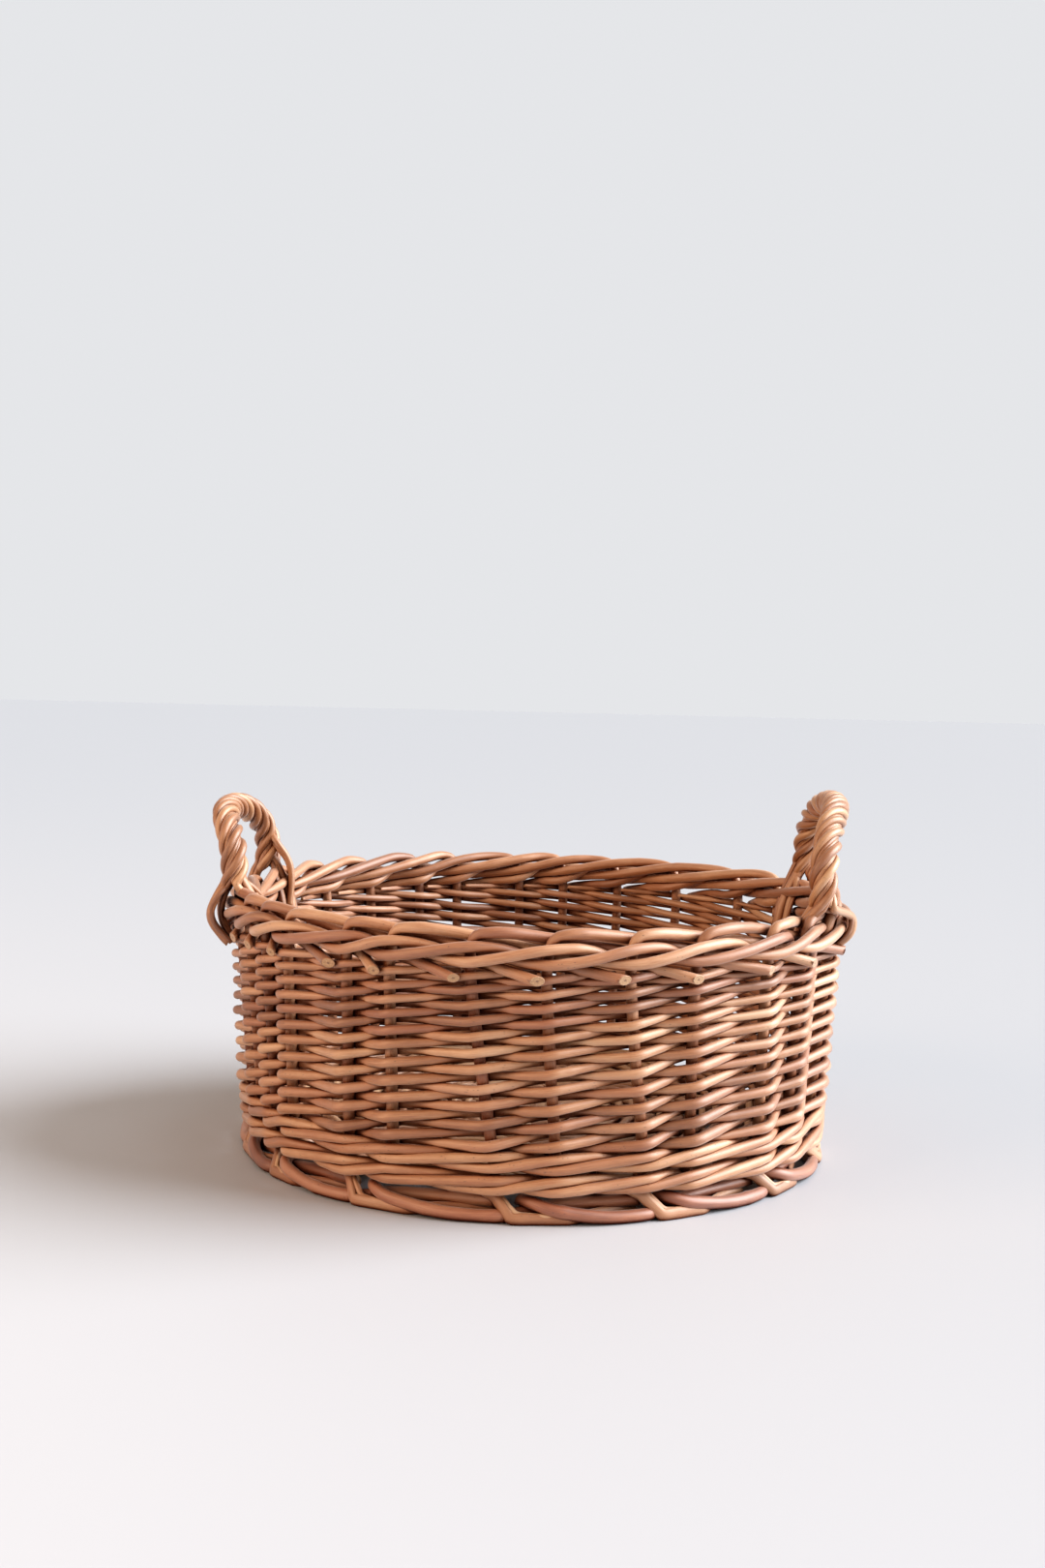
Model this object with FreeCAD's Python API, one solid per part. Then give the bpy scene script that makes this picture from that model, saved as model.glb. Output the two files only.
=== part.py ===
"""Round willow fruit basket with two roped handles, woven rod by rod.

Frame: millimetres, +Z up, origin on the ground under the middle of the basket. The front is -Y.
A turn is an angle in degrees around +Z, measured from the front towards +X.
A step is one space between neighbouring side stakes, so step 3.5 lies halfway from stake 3 to 4.
"""

import FreeCAD, Part
import math
import os

# Side wall: the centre line of the stakes leans out from the base to the rim.
WALL_LOW = (25.0, 151.0)
WALL_HIGH = (120.0, 157.6)
STAKE_COUNT = 28
STAKE_DIAMETER = 5.6
# The stakes stand unevenly, as the weaver set them. Those at the two sides share the room that is left.
# Turns are at half the wall's height. A lean is how far a stake's foot is turned on from its top.
FRONT_STAKE_TURNS = (-67.5, -58.9, -51.2, -35.5, -26.2, -9.6, 2.4, 17.5, 28.3, 45.3, 56.0)
FRONT_STAKE_LEANS = (0.0, 0.0, -1.5, -1.0, 0.0, 5.4, 3.2, 5.4, 2.0, 3.0, 1.5)
BACK_STAKE_TURNS = (117.8, 130.4, 147.0, 161.2, 173.7, 183.6, 198.0, 206.9, 219.3, 231.6)
RIGHT_STAKE_COUNT = 3

# Base: three sticks pass through slits in four others, and two rods are woven round them.
BASE_HEIGHT = 16.0
BASE_STICK_DIAMETER = 7.0
BASE_STICK_SPACING = 8.2
BASE_STICK_KNEE = 16.0
PASSING_STICK_DIAMETER = 5.2
PASSING_STICK_SPACING = 5.8
PASSING_STICK_KNEE = 17.0
BASE_STICK_REACH = 143.0
BASE_ROD_DIAMETER = 3.5
BASE_ROD_PITCH = 3.9
BASE_WEAVE_START = 22.0
BASE_WEAVE_END = 141.0
STAKE_BUTT_RADIUS = 104.0
STAKE_KNEE_RADIUS = 147.0

# Side weave: one rod for each stake. It climbs a little from stake to stake, outside one and inside the next.
WEAVER_DIAMETER = 3.9
WEAVER_START_HEIGHT = 34.6
WEAVER_CLIMB = 4.0
WEAVER_STEPS = 20
WEAVER_OVERHANG = 0.2

# Upsett: a wale of three rods, each outside two stakes and inside one.
WALE_ROD_DIAMETER = 4.6
WALE_ROUND_HEIGHT = 10.6
WALE_HEIGHT = 18.4
WALE_START_STEP = 18
WALE_STEPS = 54

# Border: each stake is laid down to the right over six steps.
BORDER_HEIGHT = 121.0

# Foot: pairs of rods, one pair to every second stake.
FOOT_UNITS = 14
FOOT_START_STEP = 1.3
FOOT_RADIUS = 151.0
KINKED_ROD_DIAMETER = 5.0
RUNNING_ROD_DIAMETER = 6.4

# Handles: a bow with four rods twisted round it.
# Turns of the two legs, height of the arch's top and how far the top leans outwards.
HANDLES = {"left": (-109.5, -76.0, 185.0, 2.8), "right": (60.0, 110.6, 195.5, -6.0)}
HANDLE_RADIUS = 163.0
ARCH_START_HEIGHT = 148.0
BOW_DIAMETER = 6.0
WRAP_DIAMETER = 5.2
WRAP_COUNT = 4
WRAP_LAY = 42.0
WRAP_STOPS_PER_TURN = 8
WRAP_MARGIN = 9.0

CLEARANCE = 0.1
BEND_SHARE = 0.45  # how much of a straight run one rounded bend may take up


def place(turn, radius, height):
    angle = math.radians(turn)
    return FreeCAD.Vector(radius * math.sin(angle), -radius * math.cos(angle), height)


def wall_radius(height):
    (low, inner), (high, outer) = WALL_LOW, WALL_HIGH
    return inner + (outer - inner) * (height - low) / (high - low)


def evenly_between(start, end, count):
    return [start + (end - start) * (i + 1) / (count + 1) for i in range(count)]


def all_stake_turns():
    left_count = STAKE_COUNT - len(FRONT_STAKE_TURNS) - len(BACK_STAKE_TURNS) - RIGHT_STAKE_COUNT
    right = evenly_between(FRONT_STAKE_TURNS[-1], BACK_STAKE_TURNS[0], RIGHT_STAKE_COUNT)
    left = evenly_between(BACK_STAKE_TURNS[-1], FRONT_STAKE_TURNS[0] + 360.0, left_count)
    return [*FRONT_STAKE_TURNS, *right, *BACK_STAKE_TURNS, *left]


STAKE_TURNS = all_stake_turns()


def stake_turn(stake, height):
    """The turn of a stake, on any lap round the basket, which changes with the height if the stake leans."""
    lap, stake = divmod(stake, STAKE_COUNT)
    low, high = WALL_LOW[0], WALL_HIGH[0]
    share = min(max((height - low) / (high - low), 0.0), 1.0)
    lean = FRONT_STAKE_LEANS[stake] if stake < len(FRONT_STAKE_LEANS) else 0.0
    return STAKE_TURNS[stake] + lean * (0.5 - share) + 360.0 * lap


def step_turn(step, height):
    """The turn of a place counted in steps, on any lap round the basket."""
    stake = math.floor(step)
    here = stake_turn(stake, height)
    following = stake_turn(stake + 1, height)
    return here + (following - here) * (step - stake)


def on_wall(step, offset, height):
    """A point at a step, offset outwards from the stakes' centre line."""
    return place(step_turn(step, height), wall_radius(height) + offset, height)


def rod(points, diameter, largest_bend=1000.0):
    """A round rod along straight runs joined by tangent arcs."""
    edges = []
    start = points[0]
    for before, corner, after in zip(points, points[1:], points[2:]):
        arriving = corner - before
        leaving = after - corner
        shorter = min(arriving.Length, leaving.Length)
        arriving.normalize()
        leaving.normalize()
        half_turn = arriving.getAngle(leaving) / 2
        if half_turn < 1e-4:
            continue
        bend = min(BEND_SHARE * shorter / math.tan(half_turn), largest_bend)
        cut = bend * math.tan(half_turn)
        arc_start = corner - arriving * cut
        arc_end = corner + leaving * cut
        inward = (leaving - arriving).normalize()
        arc_middle = corner + inward * (bend / math.cos(half_turn) - bend)
        edges.append(Part.LineSegment(start, arc_start).toShape())
        edges.append(Part.Arc(arc_start, arc_middle, arc_end).toShape())
        start = arc_end
    edges.append(Part.LineSegment(start, points[-1]).toShape())
    section = Part.Circle(points[0], points[1] - points[0], diameter / 2).toShape()
    return Part.Wire(edges).makePipeShell([Part.Wire(section)], True, False)


def save(node, solids):
    shape = solids[0] if len(solids) == 1 else Part.makeCompound(solids)
    shape.exportStep(f"parts/{node}.step")


# ---- base ----

SPOKE_COUNT = STAKE_COUNT // 2
SPOKE_TURNS = [step_turn(2 * spoke + 0.5, BASE_HEIGHT) for spoke in range(SPOKE_COUNT)]
BUTT_SPREAD = math.degrees((BASE_STICK_DIAMETER + STAKE_DIAMETER + 2 * CLEARANCE) / 2 / STAKE_BUTT_RADIUS)


def spokes_towards(turn, count):
    """The spokes nearest to a direction, in order across it."""
    def swing(spoke):
        return (SPOKE_TURNS[spoke] - turn + 180.0) % 360.0 - 180.0
    nearest = sorted(range(SPOKE_COUNT), key=lambda k: abs(swing(k)))[:count]
    return sorted(nearest, key=swing)


def base_stick(near_spoke, far_spoke, near_knee, far_knee, diameter):
    near_end = place(SPOKE_TURNS[near_spoke], BASE_STICK_REACH, BASE_HEIGHT)
    far_end = place(SPOKE_TURNS[far_spoke], BASE_STICK_REACH, BASE_HEIGHT)
    return rod([near_end, near_knee, far_knee, far_end], diameter, largest_bend=60.0)


def passing_sticks():
    """Three sticks that run left to right through the slits."""
    knee = PASSING_STICK_KNEE
    sticks = []
    for lane, right, left in zip((-1, 0, 1), spokes_towards(90.0, 3), reversed(spokes_towards(-90.0, 3))):
        y = lane * PASSING_STICK_SPACING
        knees = (FreeCAD.Vector(knee, y, BASE_HEIGHT), FreeCAD.Vector(-knee, y, BASE_HEIGHT))
        sticks.append(base_stick(right, left, *knees, PASSING_STICK_DIAMETER))
    return sticks


def slits():
    """The bores that the passing sticks need through the other sticks."""
    bore = PASSING_STICK_DIAMETER / 2 + CLEARANCE
    length = 2 * PASSING_STICK_KNEE
    along_x = FreeCAD.Vector(1, 0, 0)
    starts = [FreeCAD.Vector(-length / 2, lane * PASSING_STICK_SPACING, BASE_HEIGHT) for lane in (-1, 0, 1)]
    return [Part.makeCylinder(bore, length, start, along_x) for start in starts]


def slit_sticks():
    """Four sticks that run front to back, each slit in the middle for the passing sticks."""
    knee = BASE_STICK_KNEE
    lanes = (-1.5, -0.5, 0.5, 1.5)
    sticks = []
    for lane, front, back in zip(lanes, spokes_towards(0.0, 4), reversed(spokes_towards(180.0, 4))):
        x = lane * BASE_STICK_SPACING
        knees = (FreeCAD.Vector(x, -knee, BASE_HEIGHT), FreeCAD.Vector(x, knee, BASE_HEIGHT))
        sticks.append(base_stick(front, back, *knees, BASE_STICK_DIAMETER).cut(slits()).Solids[0])
    return sticks


def butt_turn(stake, radius):
    """The turn of a stake's buried butt, which starts beside its spoke and spreads outwards."""
    side = 1 if stake % 2 else -1
    start = SPOKE_TURNS[stake // 2] + side * BUTT_SPREAD
    share = (radius - STAKE_BUTT_RADIUS) / (STAKE_KNEE_RADIUS - STAKE_BUTT_RADIUS)
    return start + (stake_turn(stake, BASE_HEIGHT) - start) * share


def base_weaver(first_side, start_radius):
    """One of two rods that chase each other out from the middle, over one spoke and under the next."""
    lift = (BASE_STICK_DIAMETER + BASE_ROD_DIAMETER) / 2 + CLEARANCE
    points = []
    count = 0
    radius = start_radius
    while radius < BASE_WEAVE_END:
        spoke = count % SPOKE_COUNT
        side = first_side if count % 2 == 0 else -first_side
        height = BASE_HEIGHT + side * lift
        if radius < STAKE_BUTT_RADIUS:
            points.append(place(SPOKE_TURNS[spoke], radius, height))
        else:
            points.append(place(butt_turn(2 * spoke, radius), radius, height))
            points.append(place(butt_turn(2 * spoke + 1, radius), radius, height))
        count += 1
        radius = start_radius + 2 * BASE_ROD_PITCH * count / SPOKE_COUNT
    return rod(points, BASE_ROD_DIAMETER)


# ---- side ----

# The border goes behind two stakes, in front of two, behind one and ends outside.
# Each stop: steps from the stake's own place, offset outwards, height over the border's foot.
BORDER_STOPS = (
    (0.0, 1.2, 14.4),
    (0.42, 1.8, 17.2),
    (1.0, -5.6, 14.3),
    (2.0, -6.2, 7.1),
    (2.5, 0.5, 5.0),
    (3.0, 7.0, 2.4),
    (3.5, 8.6, 6.0),
    (4.0, 7.0, 10.2),
    (4.5, 1.5, 10.2),
    (5.0, -6.0, 1.4),
    (5.45, 0.5, 0.1),
    (5.9, 9.6, -4.0),
)


def side_stake(stake):
    """A stake from its butt in the base, up the side and along the border to its cut end."""
    points = [
        place(butt_turn(stake, STAKE_BUTT_RADIUS), STAKE_BUTT_RADIUS, BASE_HEIGHT),
        place(stake_turn(stake, BASE_HEIGHT), STAKE_KNEE_RADIUS, BASE_HEIGHT),
        on_wall(stake, 0.0, WALL_LOW[0] + 12.0),
    ]
    points += [on_wall(stake + step, out, BORDER_HEIGHT + up) for step, out, up in BORDER_STOPS]
    return rod(points, STAKE_DIAMETER, largest_bend=9.0)


def wale_level(count):
    """Height of the wale's middle: a level round, a climb over its last four stakes and a second level round."""
    climb_stakes = 4
    climbed = (count - (STAKE_COUNT - climb_stakes)) / climb_stakes
    return WALE_HEIGHT + WALE_ROUND_HEIGHT * min(max(climbed, 0.0), 1.0)


def wale_rod(strand):
    """A rod outside two stakes and inside one: out under its neighbours, and in over them."""
    out = (STAKE_DIAMETER + WALE_ROD_DIAMETER) / 2 + CLEARANCE
    rise = WALE_ROUND_HEIGHT / 4
    stroke = ((0.0, -out, 0.0), (0.5, 0.0, -rise), (1.0, out, -rise), (2.0, out, rise), (2.5, 0.0, rise))
    points = []
    for stroke_start in range(0, WALE_STEPS, 3):
        for ahead, offset, up in stroke:
            count = stroke_start + strand + ahead
            height = wale_level(count) + up
            points.append(on_wall(WALE_START_STEP + count, offset, height))
    return rod(points, WALE_ROD_DIAMETER)


def weaver(stake):
    """A rod of the side weave, from its butt inside one stake to its tip inside another near the rim."""
    out = (STAKE_DIAMETER + WEAVER_DIAMETER) / 2 + CLEARANCE
    points = [on_wall(stake - WEAVER_OVERHANG, -out, WEAVER_START_HEIGHT)]
    for count in range(WEAVER_STEPS + 1):
        offset = out if count % 2 else -out
        points.append(on_wall(stake + count, offset, WEAVER_START_HEIGHT + WEAVER_CLIMB * count))
    top = WEAVER_START_HEIGHT + WEAVER_CLIMB * WEAVER_STEPS
    points.append(on_wall(stake + WEAVER_STEPS + WEAVER_OVERHANG, -out, top))
    return rod(points, WEAVER_DIAMETER)


# ---- foot ----

# Stops of the foot's rods: units from the rod's own place, offset from the foot's radius, height.
KINKED_STOPS = ((-0.15, 1.0, 11.8), (0.0, 4.0, 2.35), (0.42, 3.2, 2.35), (0.6, -4.5, 2.4), (0.85, -8.0, 2.8))
RUNNING_STOPS = (
    (0.04, -6.5, 9.4),
    (0.15, 0.5, 9.7),
    (0.33, 3.8, 6.8),
    (0.62, 4.0, 2.95),
    (0.86, 3.0, 2.95),
    (1.02, -2.2, 2.95),
    (1.25, -5.5, 6.5),
    (1.85, -6.0, 8.4),
)


def foot_rods(stops, diameter):
    """The same rod once in every unit, worn flat where it stands on the ground."""
    unit = STAKE_COUNT / FOOT_UNITS
    ground = Part.makeBox(500.0, 500.0, 10.0, FreeCAD.Vector(-250.0, -250.0, -10.0))
    solids = []
    for k in range(FOOT_UNITS):
        points = []
        for along, out, height in stops:
            step = FOOT_START_STEP + unit * (k + along)
            points.append(place(step_turn(step, height), FOOT_RADIUS + out, height))
        solids.append(rod(points, diameter, largest_bend=30.0).cut(ground).Solids[0])
    return solids


# ---- handles ----

# Where the rods of a handle go below the arch: offset outwards from the wall, height.
BOW_TAIL = ((-7.0, 146.5), (-10.0, 139.0), (-10.0, 98.0))
OUTER_TAIL = ((14.2, 146.0), (15.2, 135.0), (14.0, 121.0))
INNER_TAIL = ((-8.0, 147.0), (-11.5, 139.0), (-11.5, 119.0))


def arch_points(near, far, top, lean):
    """The bow's centre line above the rim: a flattened arch that follows the rim and leans as it rises."""
    centre = (near + far) / 2
    half = (far - near) / 2
    crown = top - BOW_DIAMETER / 2 - WRAP_DIAMETER
    flatness = 0.8
    spans = 12
    points = []
    for i in range(spans + 1):
        angle = math.pi * i / spans
        across = -math.copysign(abs(math.cos(angle)) ** flatness, math.cos(angle))
        rise = math.sin(angle) ** flatness
        height = ARCH_START_HEIGHT + (crown - ARCH_START_HEIGHT) * rise
        points.append(place(centre + half * across, HANDLE_RADIUS + lean * rise, height))
    return points


def tail_points(turn, tail):
    return [place(turn, wall_radius(height) + out, height) for out, height in tail]


def handle_bow(near, far, top, lean):
    """The bow crosses the border and its two ends lie down the inside of the wall."""
    down_near = reversed(tail_points(near, BOW_TAIL))
    return rod([*down_near, *arch_points(near, far, top, lean), *tail_points(far, BOW_TAIL)], BOW_DIAMETER)


def along_line(line, distance):
    """The point at a distance along a line of points, and the line's direction there."""
    for a, b in zip(line, line[1:]):
        span = b - a
        if distance <= span.Length:
            break
        distance -= span.Length
    direction = span.normalize()
    return a + direction * distance, direction


def helix_point(arch, distance, angle):
    """A point on a twisted rod, which winds round the bow from its outer side."""
    centre, ahead = along_line(arch, distance)
    radial = FreeCAD.Vector(centre.x, centre.y, 0.0)
    outward = (radial - ahead * radial.dot(ahead)).normalize()
    across = ahead.cross(outward)
    radius = (BOW_DIAMETER + WRAP_DIAMETER) / 2 + CLEARANCE
    return centre + (outward * math.cos(angle) + across * math.sin(angle)) * radius


def handle_wraps(near, far, top, lean):
    """Four rods twisted round the bow. At each leg, two go outside the border and two inside it."""
    arch = arch_points(near, far, top, lean)
    length = sum((b - a).Length for a, b in zip(arch, arch[1:]))
    winding_turns = round((length - 2 * WRAP_MARGIN) / WRAP_LAY)
    stops = winding_turns * WRAP_STOPS_PER_TURN
    outer_spread = math.degrees((WRAP_DIAMETER / 2 + CLEARANCE) / HANDLE_RADIUS)
    inner_spread = math.degrees(((WRAP_DIAMETER + BOW_DIAMETER) / 2 + CLEARANCE) / HANDLE_RADIUS)
    tails = ((OUTER_TAIL, -outer_spread), (OUTER_TAIL, outer_spread), (INNER_TAIL, inner_spread),
             (INNER_TAIL, -inner_spread))
    wraps = []
    for strand, (tail, spread) in enumerate(tails):
        winding = []
        for stop in range(stops + 1):
            distance = WRAP_MARGIN + (length - 2 * WRAP_MARGIN) * stop / stops
            angle = 2 * math.pi * (stop / WRAP_STOPS_PER_TURN + strand / WRAP_COUNT)
            winding.append(helix_point(arch, distance, angle))
        down_near = reversed(tail_points(near + spread, tail))
        down_far = tail_points(far - spread, tail)
        wraps.append(rod([*down_near, *winding, *down_far], WRAP_DIAMETER))
    return wraps


os.makedirs("parts", exist_ok=True)

save("base_passing_sticks", passing_sticks())
save("base_slit_sticks", slit_sticks())
save("base_weave", [base_weaver(1, BASE_WEAVE_START), base_weaver(-1, BASE_WEAVE_START + BASE_ROD_PITCH)])
for stake in range(STAKE_COUNT):
    save(f"side_stake_{stake + 1:02d}", [side_stake(stake)])
save("upsett_wale", [wale_rod(strand) for strand in range(3)])
for stake in range(STAKE_COUNT // 2):
    opposite = stake + STAKE_COUNT // 2
    save(f"side_weavers_{stake + 1:02d}", [weaver(stake), weaver(opposite)])
save("foot_kinked_rods", foot_rods(KINKED_STOPS, KINKED_ROD_DIAMETER))
save("foot_running_rods", foot_rods(RUNNING_STOPS, RUNNING_ROD_DIAMETER))
for side, shape in HANDLES.items():
    save(f"{side}_handle_bow", [handle_bow(*shape)])
    save(f"{side}_handle_wraps", handle_wraps(*shape))
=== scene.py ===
"""A woven willow fruit basket: every rod, its finish, the studio and the camera.

Lengths in the tables are millimetres and are turned into metres where a mesh is made.
A turn is an angle in degrees around +Z from the front (-Y) towards +X.
A step is one space between neighbouring side stakes.
"""

import math

import bpy
import numpy as np
from mathutils import Matrix, Vector


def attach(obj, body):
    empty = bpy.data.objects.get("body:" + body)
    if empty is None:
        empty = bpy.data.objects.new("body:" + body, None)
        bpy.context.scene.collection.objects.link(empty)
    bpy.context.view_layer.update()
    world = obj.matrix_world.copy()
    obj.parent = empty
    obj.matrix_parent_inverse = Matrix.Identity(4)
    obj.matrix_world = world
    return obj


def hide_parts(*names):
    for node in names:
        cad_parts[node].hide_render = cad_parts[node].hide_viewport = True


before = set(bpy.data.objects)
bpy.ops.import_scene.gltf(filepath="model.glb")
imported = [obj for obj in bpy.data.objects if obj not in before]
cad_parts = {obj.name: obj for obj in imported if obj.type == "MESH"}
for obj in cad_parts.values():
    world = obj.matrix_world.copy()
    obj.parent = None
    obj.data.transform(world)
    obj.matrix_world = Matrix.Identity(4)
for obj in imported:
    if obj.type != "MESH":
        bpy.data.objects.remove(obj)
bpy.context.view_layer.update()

MM = 0.001
SEED = 41

# Side wall
WALL_LOW = (25.0, 151.0)
WALL_HIGH = (120.0, 157.6)
STAKE_COUNT = 28
STAKE_RADIUS = 2.85
# Turns at half the wall's height, and how far a stake's foot is turned on from its top
FRONT_STAKE_TURNS = (-67.5, -58.9, -51.2, -35.5, -26.2, -9.6, 2.4, 17.5, 28.3, 45.3, 56.0)
FRONT_STAKE_LEANS = (0.0, 0.0, -1.5, -1.0, 0.0, 5.4, 3.2, 5.4, 2.0, 3.0, 1.5)
BACK_STAKE_TURNS = (117.8, 130.4, 147.0, 161.2, 173.7, 183.6, 198.0, 206.9, 219.3, 231.6)
RIGHT_STAKE_COUNT = 3

# Base
BASE_HEIGHT = 16.0
BASE_STICK_RADIUS = 3.5
PASSING_STICK_RADIUS = 2.6
BASE_STICK_REACH = 143.0
# Where the straight middle of a base stick ends, and the room between neighbouring sticks there
PASSING_STICK_KNEE = 17.0
PASSING_STICK_GAP = 0.6
BASE_STICK_KNEE = 16.0
BASE_STICK_GAP = 1.2
BASE_ROD_RADIUS = 1.9
BASE_ROD_PITCH = 3.9
BASE_WEAVE_START = 22.0
BASE_WEAVE_END = 141.0
STAKE_BUTT_RADIUS = 104.0
STAKE_KNEE_RADIUS = 147.0

# Side weave: one rod for each stake, which climbs from stake to stake, less and less as the rods get thinner
WEAVER_START_HEIGHT = 33.2
WEAVER_CLIMB = 4.72
WEAVER_CLIMB_LOSS = 0.036
WEAVER_STEPS = 21
WEAVER_BUTT_RADIUS = 2.7
WEAVER_TIP_RADIUS = 1.95
WEAVER_TIP_LENGTH = 25.0
# Where a rod bends at the two edges of a stake, in steps
HALF_STAKE_STEP = 0.06

# Upsett wale
WALE_ROD_RADIUS = 2.5
WALE_ROUND_HEIGHT = 10.6
WALE_HEIGHT = 18.4
WALE_START_STEP = 18
WALE_STEPS = 54
WALE_CLIMB_STAKES = 4

# Border
BORDER_HEIGHT = 121.0
# Each stop: steps from the stake's own place, offset outwards, height over the border's foot
BORDER_STOPS = (
    (0.0, 1.2, 14.4),
    (0.42, 1.8, 17.2),
    (1.0, -5.6, 14.3),
    (2.0, -6.2, 7.1),
    (2.5, 0.5, 5.0),
    (3.0, 7.0, 2.4),
    (3.5, 8.6, 6.0),
    (4.0, 7.0, 10.2),
    (4.5, 1.5, 10.2),
    (5.0, -6.0, 1.4),
    (5.45, 0.5, 0.1),
    (5.9, 9.6, -4.0),
)

# Foot
FOOT_UNITS = 14
FOOT_START_STEP = 1.3
FOOT_RADIUS = 151.0
KINKED_ROD_RADIUS = 2.9
RUNNING_ROD_RADIUS = 3.2
# The kinked rod is split along its length: a flattened half, and a thinner strip beside it
# Each stop: units from the rod's own place, offset from the foot's radius, height
KINKED_STOPS = (
    (-0.25, -5.5, 15.5),
    (-0.16, -1.0, 12.0),
    (0.0, 4.6, 2.4),
    (0.42, 3.6, 2.9),
    (0.6, -4.0, 3.4),
    (0.85, -8.0, 3.6),
)
KINKED_FLATNESS = 0.62
STRIP_STOPS = (
    (-0.2, -5.5, 15.0),
    (-0.09, -0.5, 11.5),
    (0.05, 3.2, 4.6),
    (0.3, 3.8, 4.2),
    (0.5, -1.0, 4.4),
)
STRIP_RADIUS = 1.5
RUNNING_STOPS = (
    (0.04, -6.5, 9.4),
    (0.15, 0.5, 9.7),
    (0.33, 3.8, 6.8),
    (0.62, 4.0, 3.2),
    (0.86, 3.0, 3.2),
    (1.02, -2.2, 3.2),
    (1.25, -5.5, 6.5),
    (1.85, -6.0, 8.4),
)

# Handles
HANDLES = {"left": (-109.5, -76.0, 185.0, 5.0), "right": (60.0, 110.6, 195.5, -6.0)}
HANDLE_RADIUS = 163.0
ARCH_START_HEIGHT = 148.0
ARCH_FLATNESS = 0.8
ARCH_LEAN_POWER = 2.2
BOW_RADIUS = 3.0
WRAP_RADIUS = 2.6
WRAP_COUNT = 4
WRAP_LAY = 39.0
WRAP_MARGIN = 1.5
WRAP_SLOPE = 0.72
# Each wrap is three thin rods laid side by side: sideways place, height over the band, radius
WRAP_BAND = ((-2.2, -0.6, 1.3), (0.0, 0.75, 2.1), (2.2, -0.6, 1.3))
LEG_FOOT_HEIGHT = 140.0
BOW_TAIL = ((-1.0, 141.0), (-6.0, 131.0), (-10.0, 119.0), (-10.0, 98.0))
OUTER_TAILS = {
    "left": ((13.0, 136.0), (17.5, 128.0), (16.5, 121.0), (11.5, 115.0), (8.5, 111.0)),
    "right": ((12.3, 135.5), (13.3, 129.5), (10.8, 124.5), (6.0, 120.0)),
}
# How far the outer tails of a handle's near leg are turned on from the leg
OUTER_TAIL_SHIFTS = {"left": 0.5, "right": 10.0}
INNER_TAIL = ((-2.5, 135.0), (-6.5, 127.0), (-9.0, 112.0))
# Single rods that stray from the rope: radius of the rod, then turn, radius and height of its bends
LOOSE_RODS = {
    "left": (
        (1.8, (
            (-109.2, 162.0, 160.0),
            (-107.4, 155.5, 155.0),
            (-108.8, 149.0, 145.0),
            (-109.1, 146.8, 134.6),
            (-108.1, 147.0, 118.0),
        )),
        (1.6, (
            (-109.6, 162.0, 157.0),
            (-108.6, 156.5, 151.5),
            (-109.9, 150.5, 143.0),
            (-110.2, 148.5, 133.0),
            (-109.3, 147.5, 118.0),
        )),
        (1.6, (
            (-75.8, 162.0, 146.0),
            (-76.4, 158.0, 142.5),
            (-77.1, 152.7, 138.6),
            (-78.3, 147.9, 133.1),
            (-78.6, 146.5, 120.0),
        )),
    ),
    "right": (
        (3.1, (
            (62.0, 162.5, 154.0),
            (65.6, 163.4, 148.0),
            (65.6, 163.4, 142.0),
            (64.5, 161.5, 131.8),
            (63.5, 159.0, 122.0),
        )),
        (1.8, (
            (110.6, 162.0, 156.0),
            (111.6, 158.5, 147.0),
            (112.8, 152.5, 131.0),
            (112.5, 148.0, 117.0),
        )),
    ),
}


# ---- places ----


def place(turn, radius, height):
    angle = np.radians(turn)
    return np.array([radius * np.sin(angle), -radius * np.cos(angle), height])


def wall_radius(height):
    (low, inner), (high, outer) = WALL_LOW, WALL_HIGH
    return inner + (outer - inner) * (height - low) / (high - low)


def evenly_between(start, end, count):
    return [start + (end - start) * (i + 1) / (count + 1) for i in range(count)]


def all_stake_turns():
    left_count = STAKE_COUNT - len(FRONT_STAKE_TURNS) - len(BACK_STAKE_TURNS) - RIGHT_STAKE_COUNT
    right = evenly_between(FRONT_STAKE_TURNS[-1], BACK_STAKE_TURNS[0], RIGHT_STAKE_COUNT)
    left = evenly_between(BACK_STAKE_TURNS[-1], FRONT_STAKE_TURNS[0] + 360.0, left_count)
    return [*FRONT_STAKE_TURNS, *right, *BACK_STAKE_TURNS, *left]


STAKE_TURNS = all_stake_turns()


def stake_turn(stake, height):
    """The turn of a stake, on any lap round the basket, which changes with the height if the stake leans."""
    lap, stake = divmod(stake, STAKE_COUNT)
    low, high = WALL_LOW[0], WALL_HIGH[0]
    share = min(max((height - low) / (high - low), 0.0), 1.0)
    lean = FRONT_STAKE_LEANS[stake] if stake < len(FRONT_STAKE_LEANS) else 0.0
    return STAKE_TURNS[stake] + lean * (0.5 - share) + 360.0 * lap


def step_turn(step, height):
    stake = math.floor(step)
    here = stake_turn(stake, height)
    following = stake_turn(stake + 1, height)
    return here + (following - here) * (step - stake)


def on_wall(step, offset, height):
    return place(step_turn(step, height), wall_radius(height) + offset, height)


SPOKE_COUNT = STAKE_COUNT // 2
SPOKE_TURNS = [step_turn(2 * spoke + 0.5, BASE_HEIGHT) for spoke in range(SPOKE_COUNT)]


# ---- rods ----


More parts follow.
